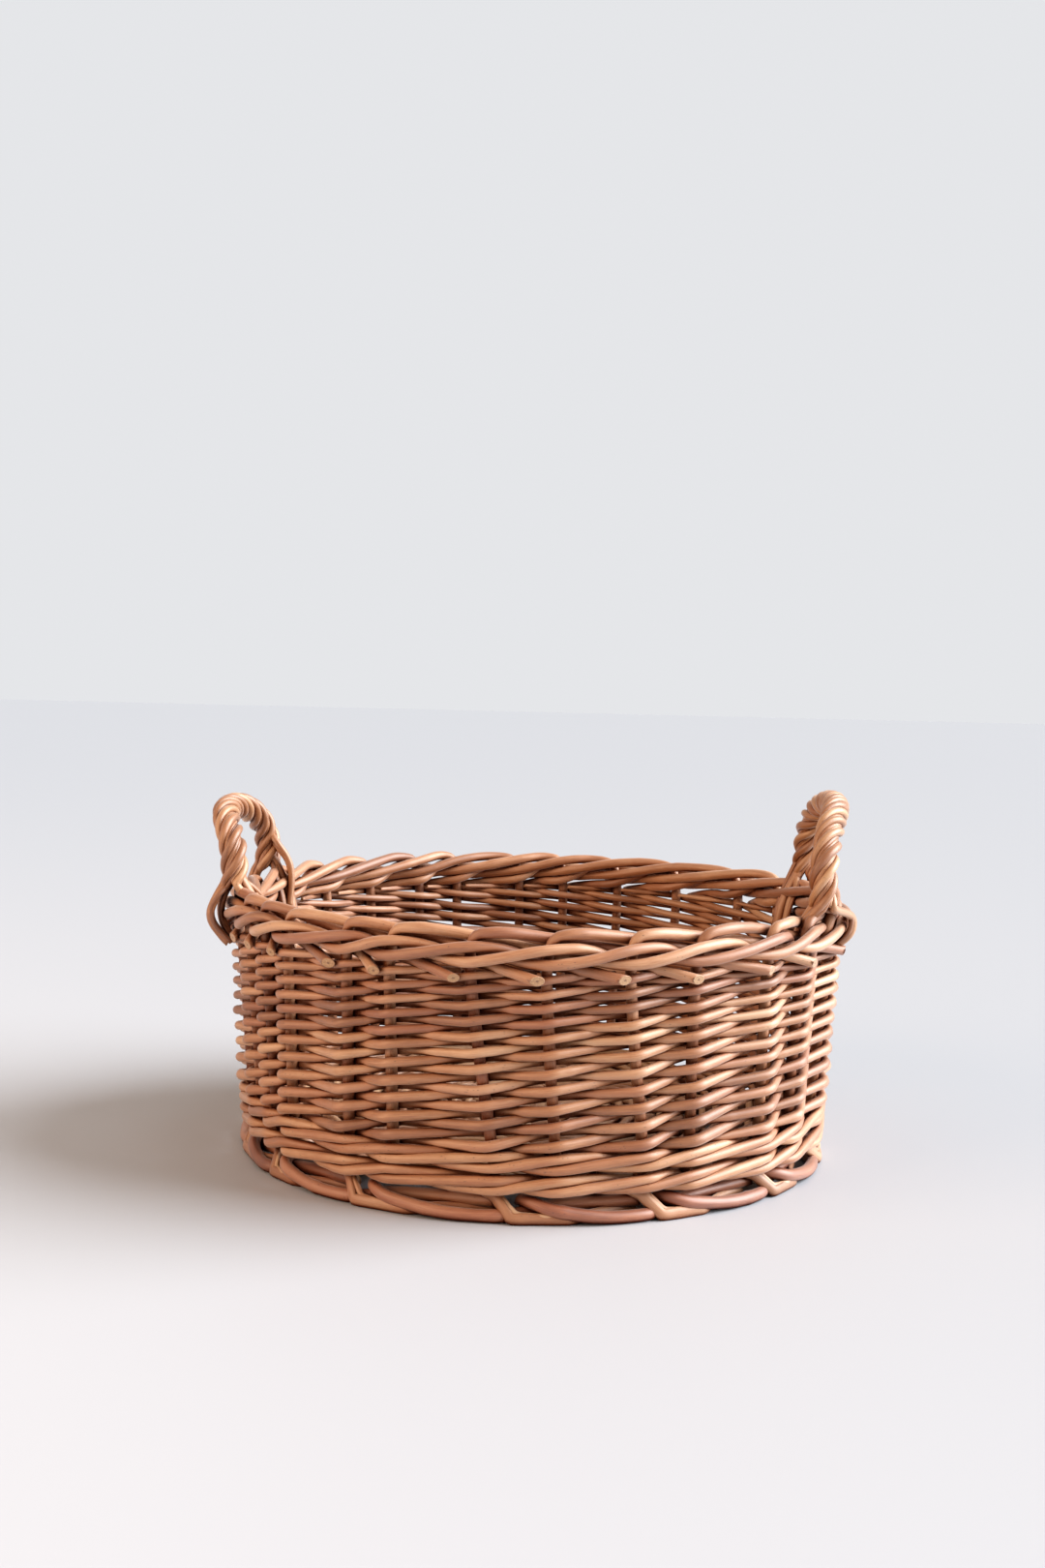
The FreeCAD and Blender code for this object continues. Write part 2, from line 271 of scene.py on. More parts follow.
def rounded_line(corners, cut=0.45, spacing=2.6):
    """Evenly spaced points along straight runs whose corners are rounded by quadratic curves."""
    corners = np.asarray(corners, float)
    dense = [corners[0]]
    share = np.linspace(0.0, 1.0, 13)[:, None]
    for before, corner, after in zip(corners, corners[1:], corners[2:]):
        start = corner + (before - corner) * cut
        end = corner + (after - corner) * cut
        dense.extend((1 - share) ** 2 * start + 2 * share * (1 - share) * corner + share**2 * end)
    dense.append(corners[-1])
    dense = np.array(dense)
    lengths = np.r_[0.0, np.cumsum(np.linalg.norm(np.diff(dense, axis=0), axis=1))]
    count = max(int(lengths[-1] / spacing), 4)
    wanted = np.linspace(0.0, lengths[-1], count + 1)
    return np.column_stack([np.interp(wanted, lengths, dense[:, i]) for i in range(3)]), wanted


def unit(vectors):
    return vectors / np.linalg.norm(vectors, axis=-1, keepdims=True)


def carried_frames(line, first_side):
    """Directions along, beside and over a line, carried along it without twisting."""
    along = unit(np.gradient(line, axis=0))
    side = np.zeros_like(line)
    current = np.asarray(first_side, float)
    for i, direction in enumerate(along):
        current = current - direction * (current @ direction)
        current = current / np.linalg.norm(current)
        side[i] = current
    return along, side, np.cross(along, side)


def wandering(rng, distances, wavelength, size):
    """A smooth random wander along a rod."""
    knots = np.arange(0.0, distances[-1] + 2 * wavelength, wavelength)
    values = rng.normal(0.0, size, len(knots))
    share = distances / wavelength
    low = share.astype(int)
    blend = share - low
    blend = blend * blend * (3 - 2 * blend)
    return values[low] * (1 - blend) + values[low + 1] * blend


UP = (0.0, 0.0, 0.4)


class Weave:
    """Collects rods into one mesh, with the attributes that the willow finish reads."""

    def __init__(self, seed):
        self.rng = np.random.default_rng(SEED * 1000 + seed)
        self.points, self.faces, self.sharp = [], [], []
        self.grain, self.tone, self.warmth, self.cut = [], [], [], []
        self.count = 0

    def rod(self, line, distances, radii, sides=12, flat_over=None, side=(0.0, 0.0, 1.0), cuts=(UP, UP),
            tone=None, warmth=None):
        """A rod of circular section, flattened where flat_over is under 1.

        Each end is cut on a slant, so that its face leans towards the direction given in cuts.
        """
        along, beside, over = carried_frames(line, side)
        radii = np.broadcast_to(np.asarray(radii, float), len(line)).copy()
        radii *= 1 + wandering(self.rng, distances, 9.0, 0.018) + wandering(self.rng, distances, 40.0, 0.025)
        for knot in np.arange(self.rng.uniform(10.0, 60.0), distances[-1], 74.0):
            radii *= 1 + 0.07 * np.exp(-(((distances - knot - self.rng.uniform(-12, 12)) / 2.4) ** 2))
        flat = np.ones(len(line)) if flat_over is None else flat_over
        angles = np.linspace(0.0, 2 * math.pi, sides, endpoint=False)
        across = np.cos(angles)[None, :, None] * beside[:, None] * flat[:, None, None]
        upward = np.sin(angles)[None, :, None] * over[:, None]
        rings = line[:, None] + (across + upward) * radii[:, None, None]
        for ring, step, towards in ((0, -1, cuts[0]), (len(line) - 1, 1, cuts[1])):
            reach = (rings[ring] - line[ring]) @ np.asarray(towards, float)
            rings[ring] -= along[ring] * step * reach[:, None]
        grain_offset = self.rng.uniform(0.0, 40.0)
        grain = np.empty((len(line), sides, 3))
        grain[..., 0] = np.cos(angles)[None, :] * radii[:, None] * MM
        grain[..., 1] = np.sin(angles)[None, :] * radii[:, None] * MM
        grain[..., 2] = distances[:, None] * MM + grain_offset
        first = self.count
        self.points.append(rings.reshape(-1, 3))
        self.grain.append(grain.reshape(-1, 3))
        total = len(line) * sides
        rows = np.arange(len(line) - 1)[:, None] * sides
        here = np.arange(sides)[None, :]
        beyond = (here + 1) % sides
        quads = np.stack([rows + here, rows + beyond, rows + beyond + sides, rows + here + sides], axis=-1)
        self.faces.extend((quads.reshape(-1, 4) + first).tolist())
        self.cut.append(np.zeros(total))
        extra = []
        for ring, step in ((0, -1), (len(line) - 1, 1)):
            rim = first + ring * sides
            inner = first + total + len(extra)
            centre = rings[ring].mean(axis=0)
            inset = centre + (rings[ring] - centre) * 0.86 + along[ring] * step * 0.25 * radii[ring] / 2.5
            extra.extend(inset)
            extra.append(centre + along[ring] * step * 0.1)
            self.grain.append(np.vstack([grain[ring] * [0.86, 0.86, 1.0], [[0.0, 0.0, grain[ring, 0, 2]]]]))
            self.cut.append(np.ones(sides + 1))
            for i in range(sides):
                j = (i + 1) % sides
                outer_face = (rim + i, rim + j, inner + j, inner + i)
                cap_face = (inner + i, inner + j, inner + sides)
                self.faces.append(outer_face if step > 0 else outer_face[::-1])
                self.faces.append(cap_face if step > 0 else cap_face[::-1])
                self.sharp.append((inner + i, inner + j))
        self.points.append(np.array(extra))
        total += len(extra)
        tone = self.rng.uniform() if tone is None else tone
        warmth = self.rng.uniform() if warmth is None else warmth
        self.tone.append(np.full(total, tone))
        self.warmth.append(np.full(total, warmth))
        self.count += total

    def piece(self, name, node, material):
        """Makes the mesh object, and has it stand for its CAD node."""
        mesh = bpy.data.meshes.new(name)
        mesh.from_pydata((np.vstack(self.points) * MM).tolist(), [], self.faces)
        for attribute, values, kind, field in (
            ("grain", np.vstack(self.grain), "FLOAT_VECTOR", "vector"),
            ("tone", np.concatenate(self.tone), "FLOAT", "value"),
            ("warmth", np.concatenate(self.warmth), "FLOAT", "value"),
            ("cut", np.concatenate(self.cut), "FLOAT", "value"),
        ):
            layer = mesh.attributes.new(attribute, kind, "POINT")
            layer.data.foreach_set(field, np.ascontiguousarray(values, np.float32).ravel())
        mesh.polygons.foreach_set("use_smooth", np.ones(len(mesh.polygons), bool))
        sharp = {tuple(sorted(edge)) for edge in self.sharp}
        ends = np.empty(len(mesh.edges) * 2, np.int32)
        mesh.edges.foreach_get("vertices", ends)
        marks = [tuple(sorted(pair)) in sharp for pair in ends.reshape(-1, 2).tolist()]
        mesh.edges.foreach_set("use_edge_sharp", np.array(marks, bool))
        mesh.materials.append(material)
        mesh.update()
        obj = bpy.data.objects.new(name, mesh)
        bpy.context.scene.collection.objects.link(obj)
        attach(obj, "root")
        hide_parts(node)
        return obj


# ---- finish ----

# Ramps: place on the ramp, colour
CUT_WOOD = ((0.3, (0.26, 0.11, 0.045)), (0.55, (0.54, 0.32, 0.16)), (0.8, (0.74, 0.53, 0.31)))
# Painted shade: a ramp multiplied into the willow's colour where the ambient-occlusion node finds other rods
# close, darkening crevices and the gaps between rods where shade falls
CREVICE_SHADE = ((0.1, (0.08, 0.022, 0.007)), (0.35, (0.36, 0.17, 0.09)), (0.66, (1.0, 1.0, 1.0)))
CREVICE_REACH = 6.5
PITH_RADIUS = 0.55
PITH_COLOUR = (0.25, 0.12, 0.05)


def link(tree, source, target):
    tree.links.new(source, target)


def node(tree, kind, **settings):
    made = tree.nodes.new(kind)
    for key, value in settings.items():
        if key in made.inputs:
            made.inputs[key].default_value = value
        else:
            setattr(made, key, value)
    return made


def attribute(tree, name, output):
    made = tree.nodes.new("ShaderNodeAttribute")
    made.attribute_name = name
    return made.outputs[output]


def math_node(tree, operation, first, second=None, clamp=False):
    made = tree.nodes.new("ShaderNodeMath")
    made.operation = operation
    made.use_clamp = clamp
    for socket, value in zip(made.inputs, (first, second)):
        if value is None:
            continue
        if isinstance(value, (int, float)):
            socket.default_value = value
        else:
            tree.links.new(value, socket)
    return made.outputs[0]


def stretched(tree, grain, across, lengthwise):
    """The grain coordinates, scaled for a pattern that is longer along the rod than across it."""
    mapping = tree.nodes.new("ShaderNodeMapping")
    mapping.inputs["Scale"].default_value = (across, across, lengthwise)
    link(tree, grain, mapping.inputs["Vector"])
    return mapping.outputs["Vector"]


def noise(tree, vector, detail=3.0, roughness=0.55, scale=1.0):
    made = tree.nodes.new("ShaderNodeTexNoise")
    made.inputs["Scale"].default_value = scale
    made.inputs["Detail"].default_value = detail
    made.inputs["Roughness"].default_value = roughness
    link(tree, vector, made.inputs["Vector"])
    return made.outputs["Fac"]


def ramp(tree, value, stops, interpolation="LINEAR"):
    made = tree.nodes.new("ShaderNodeValToRGB")
    made.color_ramp.interpolation = interpolation
    elements = made.color_ramp.elements
    while len(elements) < len(stops):
        elements.new(0.5)
    for element, (position, colour) in zip(elements, stops):
        element.position = position
        element.color = (*colour, 1.0) if len(colour) == 3 else colour
    link(tree, value, made.inputs["Fac"])
    return made.outputs["Color"]


def mixed(tree, share, first, second, blend="MIX"):
    made = tree.nodes.new("ShaderNodeMix")
    made.data_type = "RGBA"
    made.blend_type = blend
    for socket, value in ((made.inputs[0], share), (made.inputs[6], first), (made.inputs[7], second)):
        if isinstance(value, (int, float)):
            socket.default_value = value
        elif isinstance(value, tuple):
            socket.default_value = (*value, 1.0)
        else:
            tree.links.new(value, socket)
    return made.outputs[2]


def willow(name, dark, middle, pale, red, gloss=0.55):
    """Buff willow: streaked along the rod, spotted with lenticels, pale with a pith where it is cut, and
    darkened by painted shade in the crevices between rods.
    """
    material = bpy.data.materials.new(name)
    material.use_nodes = True
    tree = material.node_tree
    shader = tree.nodes["Principled BSDF"]
    grain = attribute(tree, "grain", "Vector")
    tone = attribute(tree, "tone", "Fac")
    warmth = attribute(tree, "warmth", "Fac")
    cut = attribute(tree, "cut", "Fac")

    patches = noise(tree, stretched(tree, grain, 120.0, 30.0), detail=5.0, roughness=0.6)
    streaks = noise(tree, stretched(tree, grain, 1500.0, 50.0), detail=5.0, roughness=0.7)
    fibres = noise(tree, stretched(tree, grain, 4200.0, 160.0), detail=2.0)
    level = math_node(tree, "MULTIPLY", patches, 0.6)
    level = math_node(tree, "ADD", level, math_node(tree, "MULTIPLY", streaks, 0.5))
    for source, weight in ((fibres, 0.25), (tone, 0.45)):
        centred = math_node(tree, "SUBTRACT", source, 0.5)
        level = math_node(tree, "ADD", level, math_node(tree, "MULTIPLY", centred, weight))
    bark = ramp(tree, level, ((0.28, dark), (0.53, middle), (0.80, pale)))
    blush = noise(tree, stretched(tree, grain, 60.0, 9.0), detail=3.0)
    blush = math_node(tree, "MULTIPLY", blush, warmth)
    blush = math_node(tree, "MULTIPLY_ADD", blush, 1.3)
    blush.node.inputs[2].default_value = -0.25
    blush.node.use_clamp = True
    bark = mixed(tree, blush, bark, red)

    spots = tree.nodes.new("ShaderNodeTexVoronoi")
    spots.inputs["Scale"].default_value = 1.0
    link(tree, stretched(tree, grain, 900.0, 420.0), spots.inputs["Vector"])
    small = math_node(tree, "LESS_THAN", spots.outputs["Distance"], 0.17)
    chosen = tree.nodes.new("ShaderNodeSeparateColor")
    link(tree, spots.outputs["Color"], chosen.inputs[0])
    kept = math_node(tree, "GREATER_THAN", chosen.outputs[0], 0.80)
    crowding = noise(tree, stretched(tree, grain, 110.0, 30.0), detail=1.0)
    clusters = math_node(tree, "GREATER_THAN", crowding, 0.50)
    speck = math_node(tree, "MULTIPLY", math_node(tree, "MULTIPLY", small, kept), clusters)
    bark = mixed(tree, math_node(tree, "MULTIPLY", speck, 0.75), bark, tuple(c * 0.45 for c in dark))

    flat = tree.nodes.new("ShaderNodeVectorMath")
    flat.operation = "MULTIPLY"
    flat.inputs[1].default_value = (1.0, 1.0, 0.0)
    link(tree, grain, flat.inputs[0])
    radius = tree.nodes.new("ShaderNodeVectorMath")
    radius.operation = "LENGTH"
    link(tree, flat.outputs[0], radius.inputs[0])
    pores = noise(tree, stretched(tree, grain, 3000.0, 40.0), detail=3.0, roughness=0.7)
    wood = ramp(tree, pores, CUT_WOOD)
    pith = math_node(tree, "LESS_THAN", radius.outputs["Value"], PITH_RADIUS * MM)
    wood = mixed(tree, pith, wood, PITH_COLOUR)
    colour = mixed(tree, cut, bark, wood)
    # Painted shade: the base colour is multiplied darker where ambient occlusion finds close neighbours,
    # standing in for the shade in crevices and gaps
    corners = tree.nodes.new("ShaderNodeAmbientOcclusion")
    corners.samples = 6
    corners.inputs["Distance"].default_value = CREVICE_REACH * MM
    openness = corners.outputs["AO"]
    shade = ramp(tree, openness, CREVICE_SHADE)
    colour = mixed(tree, 1.0, colour, shade, blend="MULTIPLY")
    link(tree, colour, shader.inputs["Base Color"])

    shine = math_node(tree, "ADD", math_node(tree, "MULTIPLY", streaks, 0.25), gloss - 0.12)
    shine = math_node(tree, "ADD", shine, math_node(tree, "MULTIPLY", cut, 0.3))
    link(tree, shine, shader.inputs["Roughness"])
    # Painted shade on the shine: specular, sheen and coat are turned down where ambient occlusion finds
    # crevices, so reflections fade where shade falls
    shine_out_of_shade = ramp(tree, openness, ((0.3, (0.0, 0.0, 0.0)), (0.75, (1.0, 1.0, 1.0))))
    link(tree, math_node(tree, "MULTIPLY", shine_out_of_shade, 0.8), shader.inputs["Specular IOR Level"])
    link(tree, math_node(tree, "MULTIPLY", shine_out_of_shade, 0.3), shader.inputs["Sheen Weight"])
    shader.inputs["Sheen Roughness"].default_value = 0.45
    link(tree, math_node(tree, "MULTIPLY", shine_out_of_shade, 0.95), shader.inputs["Coat Weight"])
    shader.inputs["Coat Roughness"].default_value = 0.5

    relief = math_node(tree, "MULTIPLY", streaks, 0.6)
    relief = math_node(tree, "ADD", relief, math_node(tree, "MULTIPLY", fibres, 0.25))
    relief = math_node(tree, "SUBTRACT", relief, math_node(tree, "MULTIPLY", speck, 0.5))
    open_pores = math_node(tree, "MULTIPLY", pores, cut)
    relief = math_node(tree, "ADD", relief, math_node(tree, "MULTIPLY", open_pores, 1.5))
    bump = tree.nodes.new("ShaderNodeBump")
    bump.inputs["Strength"].default_value = 0.55
    bump.inputs["Distance"].default_value = 0.0004
    link(tree, relief, bump.inputs["Height"])
    link(tree, bump.outputs["Normal"], shader.inputs["Normal"])
    return material


def plain_surface(name, colour, roughness):
    material = bpy.data.materials.new(name)
    material.use_nodes = True
    shader = material.node_tree.nodes["Principled BSDF"]
    shader.inputs["Base Color"].default_value = (*colour, 1.0)
    shader.inputs["Roughness"].default_value = roughness
    return material


WEAVER_WILLOW = willow(
    "weaver_willow",
    dark=(0.25, 0.088, 0.028),
    middle=(0.43, 0.190, 0.080),
    pale=(0.62, 0.37, 0.21),
    red=(0.36, 0.115, 0.050),
)
STAKE_WILLOW = willow(
    "stake_willow",
    dark=(0.24, 0.084, 0.027),
    middle=(0.41, 0.172, 0.070),
    pale=(0.60, 0.34, 0.19),
    red=(0.34, 0.105, 0.045),
)
WALE_WILLOW = willow(
    "wale_willow",
    dark=(0.25, 0.088, 0.026),
    middle=(0.42, 0.178, 0.070),
    pale=(0.60, 0.35, 0.19),
    red=(0.36, 0.11, 0.045),
)
BASE_WILLOW = willow(
    "base_willow",
    dark=(0.24, 0.10, 0.040),
    middle=(0.40, 0.19, 0.085),
    pale=(0.55, 0.33, 0.17),
    red=(0.32, 0.12, 0.05),
)
KINKED_WILLOW = willow(
    "kinked_foot_willow",
    dark=(0.27, 0.11, 0.04),
    middle=(0.44, 0.20, 0.085),
    pale=(0.64, 0.43, 0.26),
    red=(0.36, 0.12, 0.05),
)
RUNNING_WILLOW = willow(
    "running_foot_willow",
    dark=(0.19, 0.052, 0.020),
    middle=(0.36, 0.125, 0.054),
    pale=(0.52, 0.26, 0.14),
    red=(0.30, 0.075, 0.032),
)
HANDLE_WILLOW = willow(
    "handle_willow",
    dark=(0.19, 0.062, 0.018),
    middle=(0.37, 0.152, 0.055),
    pale=(0.58, 0.33, 0.17),
    red=(0.38, 0.135, 0.05),
    gloss=0.48,
)


# ---- base ----


def spokes_towards(turn, count):
    def swing(spoke):
        return (SPOKE_TURNS[spoke] - turn + 180.0) % 360.0 - 180.0
    nearest = sorted(range(SPOKE_COUNT), key=lambda k: abs(swing(k)))[:count]
    return sorted(nearest, key=swing)


def base_stick(weave, near_spoke, far_spoke, near_knee, far_knee, radius):
    near_end = place(SPOKE_TURNS[near_spoke], BASE_STICK_REACH, BASE_HEIGHT)
    far_end = place(SPOKE_TURNS[far_spoke], BASE_STICK_REACH, BASE_HEIGHT)
    line, distances = rounded_line([near_end, near_knee, far_knee, far_end], cut=0.4)
    weave.rod(line, distances, radius, sides=14)


def passing_sticks():
    weave = Weave(1)
    spacing = 2 * PASSING_STICK_RADIUS + PASSING_STICK_GAP
    for lane, right, left in zip((-1, 0, 1), spokes_towards(90.0, 3), reversed(spokes_towards(-90.0, 3))):
        knee = np.array([PASSING_STICK_KNEE, lane * spacing, BASE_HEIGHT])
        base_stick(weave, right, left, knee, knee * [-1, 1, 1], PASSING_STICK_RADIUS)
    return weave.piece("base_sticks_across", "base_passing_sticks", BASE_WILLOW)


def slit_sticks():
    weave = Weave(2)
    spacing = 2 * BASE_STICK_RADIUS + BASE_STICK_GAP
    lanes = (-1.5, -0.5, 0.5, 1.5)
    for lane, front, back in zip(lanes, spokes_towards(0.0, 4), reversed(spokes_towards(180.0, 4))):
        knee = np.array([lane * spacing, -BASE_STICK_KNEE, BASE_HEIGHT])
        base_stick(weave, front, back, knee, knee * [1, -1, 1], BASE_STICK_RADIUS)
    return weave.piece("base_sticks_slit", "base_slit_sticks", BASE_WILLOW)


def butt_turn(stake, radius):
    side = 1 if stake % 2 else -1
    spread = math.degrees((BASE_STICK_RADIUS + STAKE_RADIUS) / STAKE_BUTT_RADIUS)
    start = SPOKE_TURNS[stake // 2] + side * spread
    share = (radius - STAKE_BUTT_RADIUS) / (STAKE_KNEE_RADIUS - STAKE_BUTT_RADIUS)
    return start + (stake_turn(stake, BASE_HEIGHT) - start) * share


def base_weave():
    weave = Weave(3)
    lift = BASE_STICK_RADIUS + BASE_ROD_RADIUS
    for first_side, start_radius in ((1, BASE_WEAVE_START), (-1, BASE_WEAVE_START + BASE_ROD_PITCH)):
        corners = []
        count = 0
        radius = start_radius
        while radius < BASE_WEAVE_END:
            spoke = count % SPOKE_COUNT
            height = BASE_HEIGHT + lift * (first_side if count % 2 == 0 else -first_side)
            if radius < STAKE_BUTT_RADIUS:
                corners.append(place(SPOKE_TURNS[spoke], radius, height))
            else:
                corners += [place(butt_turn(2 * spoke + i, radius), radius, height) for i in (0, 1)]
            count += 1
            radius = start_radius + 2 * BASE_ROD_PITCH * count / SPOKE_COUNT
        line, distances = rounded_line(corners, spacing=3.2)
        weave.rod(line, distances, BASE_ROD_RADIUS, sides=10)
    return weave.piece("base_weave_rods", "base_weave", BASE_WILLOW)


# ---- side ----


def side_stake(stake):
    weave = Weave(100 + stake)
    rng = weave.rng
    corners = [
        place(butt_turn(stake, STAKE_BUTT_RADIUS), STAKE_BUTT_RADIUS, BASE_HEIGHT),
        place(stake_turn(stake, BASE_HEIGHT), STAKE_KNEE_RADIUS, BASE_HEIGHT),
        on_wall(stake, 0.0, WALL_LOW[0] + 12.0),
        on_wall(stake, 0.0, 80.0),
    ]
    sunk = rng.uniform(0.5, 2.6) if place(stake_turn(stake, BORDER_HEIGHT), 1.0, 0.0)[1] > 0 else 0.0
    for number, (ahead, out, up) in enumerate(BORDER_STOPS):
        if ahead < 1.0:
            up -= sunk
        loose = 0.0 if number == 0 else 1.0
        ahead += rng.normal(0.0, 0.015) * loose
        out += rng.normal(0.0, 0.2) * loose
        up += rng.normal(0.0, 0.3) * loose
        corners.append(on_wall(stake + ahead, out, BORDER_HEIGHT + up))
    line, distances = rounded_line(corners, cut=0.45, spacing=2.2)
    share = distances / distances[-1]
    radii = STAKE_RADIUS * (1.02 - 0.13 * share)
    outwards = place(step_turn(stake + BORDER_STOPS[-1][0], BORDER_HEIGHT), rng.uniform(0.8, 1.3), -0.3)
    weave.rod(line, distances, radii, sides=14, cuts=(UP, outwards))
    number = f"{stake + 1:02d}"
    return weave.piece(f"stake_rod_{number}", f"side_stake_{number}", STAKE_WILLOW)


def wale_level(count):
    climbed = (count - (STAKE_COUNT - WALE_CLIMB_STAKES)) / WALE_CLIMB_STAKES
    return WALE_HEIGHT + WALE_ROUND_HEIGHT * min(max(climbed, 0.0), 1.0)


def upsett_wale():
    weave = Weave(4)
    out = STAKE_RADIUS + WALE_ROD_RADIUS
    rise = WALE_ROUND_HEIGHT / 4
    stroke = ((0.0, -out, 0.0), (0.5, 0.0, -rise), (1.0, out, -rise), (2.0, out, rise), (2.5, 0.0, rise))
    for strand in range(3):
        corners = []
        for stroke_start in range(0, WALE_STEPS, 3):
            for ahead, offset, up in stroke:
                count = stroke_start + strand + ahead
                height = wale_level(count) + up + weave.rng.normal(0.0, 0.3)
                corners.append(on_wall(WALE_START_STEP + count, offset + weave.rng.normal(0.0, 0.25), height))
        line, distances = rounded_line(corners, cut=0.26, spacing=2.0)
        weave.rod(line, distances, WALE_ROD_RADIUS, sides=12)
    return weave.piece("wale_rods", "upsett_wale", WALE_WILLOW)


def turns_of(points):
    """Turns of a run of points round the basket, without a jump at the back."""
    points = np.asarray(points)
    return np.unwrap(np.arctan2(points[:, 0], -points[:, 1]))


def weaver_height(count):
    return WEAVER_START_HEIGHT + WEAVER_CLIMB * count - WEAVER_CLIMB_LOSS * count * count


def side_weaver(weave, stake):
    """A rod of the side weave, from its butt inside one stake to its tip inside another near the rim."""
    rng = weave.rng
    inside = -STAKE_RADIUS
    steps = [-0.4]
    corners = [on_wall(stake + steps[0], inside - WEAVER_BUTT_RADIUS - 1.5, weaver_height(0) - 1.0)]
    for count in range(WEAVER_STEPS + 1):
        share = count / WEAVER_STEPS
        radius = WEAVER_BUTT_RADIUS + (WEAVER_TIP_RADIUS - WEAVER_BUTT_RADIUS) * share
        height = weaver_height(count) + rng.normal(0.0, 0.35)
        if count % 2:
            out = STAKE_RADIUS + radius + rng.normal(0.0, 0.2)
            for beside in (-HALF_STAKE_STEP, HALF_STAKE_STEP):
                corners.append(on_wall(stake + count + beside, out, height + beside * 8.0))
                steps.append(count + beside)
        else:
            corners.append(on_wall(stake + count, inside - radius, height))
            steps.append(count)
    steps.append(WEAVER_STEPS + 0.9)
    corners.append(on_wall(stake + steps[-1], inside - WEAVER_TIP_RADIUS, weaver_height(steps[-1]) - 0.8))
    line, distances = rounded_line(corners, cut=0.2, spacing=1.7)
    between = np.interp(turns_of(line), turns_of(corners), steps)
    flat_over = 1 - 0.08 * np.sin(math.pi * between) ** 2
    radii = np.linspace(WEAVER_BUTT_RADIUS, WEAVER_TIP_RADIUS, len(line))
    radii *= 1 - 0.5 * np.clip(1 - (distances[-1] - distances) / WEAVER_TIP_LENGTH, 0.0, 1.0)
    weave.rod(line, distances, radii, sides=12, flat_over=flat_over)


def side_weavers(stake):
    """The rods that start at a stake and at the stake opposite."""
    weave = Weave(200 + stake)
    side_weaver(weave, stake)
    side_weaver(weave, stake + STAKE_COUNT // 2)
    number = f"{stake + 1:02d}"
    return weave.piece(f"weaver_rods_{number}", f"side_weavers_{number}", WEAVER_WILLOW)


# ---- foot ----


def foot_rods(weave, stops, radius, cut, flatness=1.0, tone=None):
    """The same rod once in every unit, resting on the ground."""
    unit_steps = STAKE_COUNT / FOOT_UNITS
    for k in range(FOOT_UNITS):
        corners = []
        for along, out, height in stops:
            step = FOOT_START_STEP + unit_steps * (k + along + weave.rng.normal(0.0, 0.01))
            corners.append(place(step_turn(step, height), FOOT_RADIUS + out, height))
        line, distances = rounded_line(corners, cut=cut, spacing=1.6)
        line[:, 2] = np.maximum(line[:, 2], radius)
        outwards = np.array([line[0][0], line[0][1], 0.0])
        weave.rod(line, distances, radius, sides=14, flat_over=np.full(len(line), flatness), side=outwards,
                  tone=tone)


def kinked_foot():
    weave = Weave(5)
    foot_rods(weave, KINKED_STOPS, KINKED_ROD_RADIUS, 0.12, flatness=KINKED_FLATNESS)
    foot_rods(weave, STRIP_STOPS, STRIP_RADIUS, 0.2, tone=0.8)
    return weave.piece("foot_rods_kinked", "foot_kinked_rods", KINKED_WILLOW)


def running_foot():
    weave = Weave(6)
    foot_rods(weave, RUNNING_STOPS, RUNNING_ROD_RADIUS, 0.45)
    return weave.piece("foot_rods_running", "foot_running_rods", RUNNING_WILLOW)


# ---- handles ----


def arch_line(near, far, top, lean):
    centre = (near + far) / 2
    half = (far - near) / 2
    crown = top - BOW_RADIUS - 2 * WRAP_RADIUS
    angles = np.linspace(0.0, math.pi, 61)
    across = -np.sign(np.cos(angles)) * np.abs(np.cos(angles)) ** ARCH_FLATNESS
    rise = np.abs(np.sin(angles)) ** ARCH_FLATNESS
    turns = centre + half * across
    radii = HANDLE_RADIUS + lean * rise**ARCH_LEAN_POWER
    heights = ARCH_START_HEIGHT + (crown - ARCH_START_HEIGHT) * rise
    points = [place(*where) for where in zip(turns, radii, heights)]
    feet = [place(turn, HANDLE_RADIUS, LEG_FOOT_HEIGHT) for turn in (near, far)]
    return np.array([feet[0], *points, feet[1]])


def tail_points(turn, tail):
    return [place(turn, wall_radius(height) + out, height) for out, height in tail]


def handle_bow(side):
    near, far, top, lean = HANDLES[side]
    weave = Weave(7 if side == "left" else 8)
    arch = arch_line(near, far, top, lean)
    corners = [*reversed(tail_points(near, BOW_TAIL)), *arch[1:-1:6], *tail_points(far, BOW_TAIL)]
    line, distances = rounded_line(corners)
    weave.rod(line, distances, BOW_RADIUS, sides=14, side=(0.0, 1.0, 0.0))
    return weave.piece(f"{side}_handle_core", f"{side}_handle_bow", HANDLE_WILLOW)


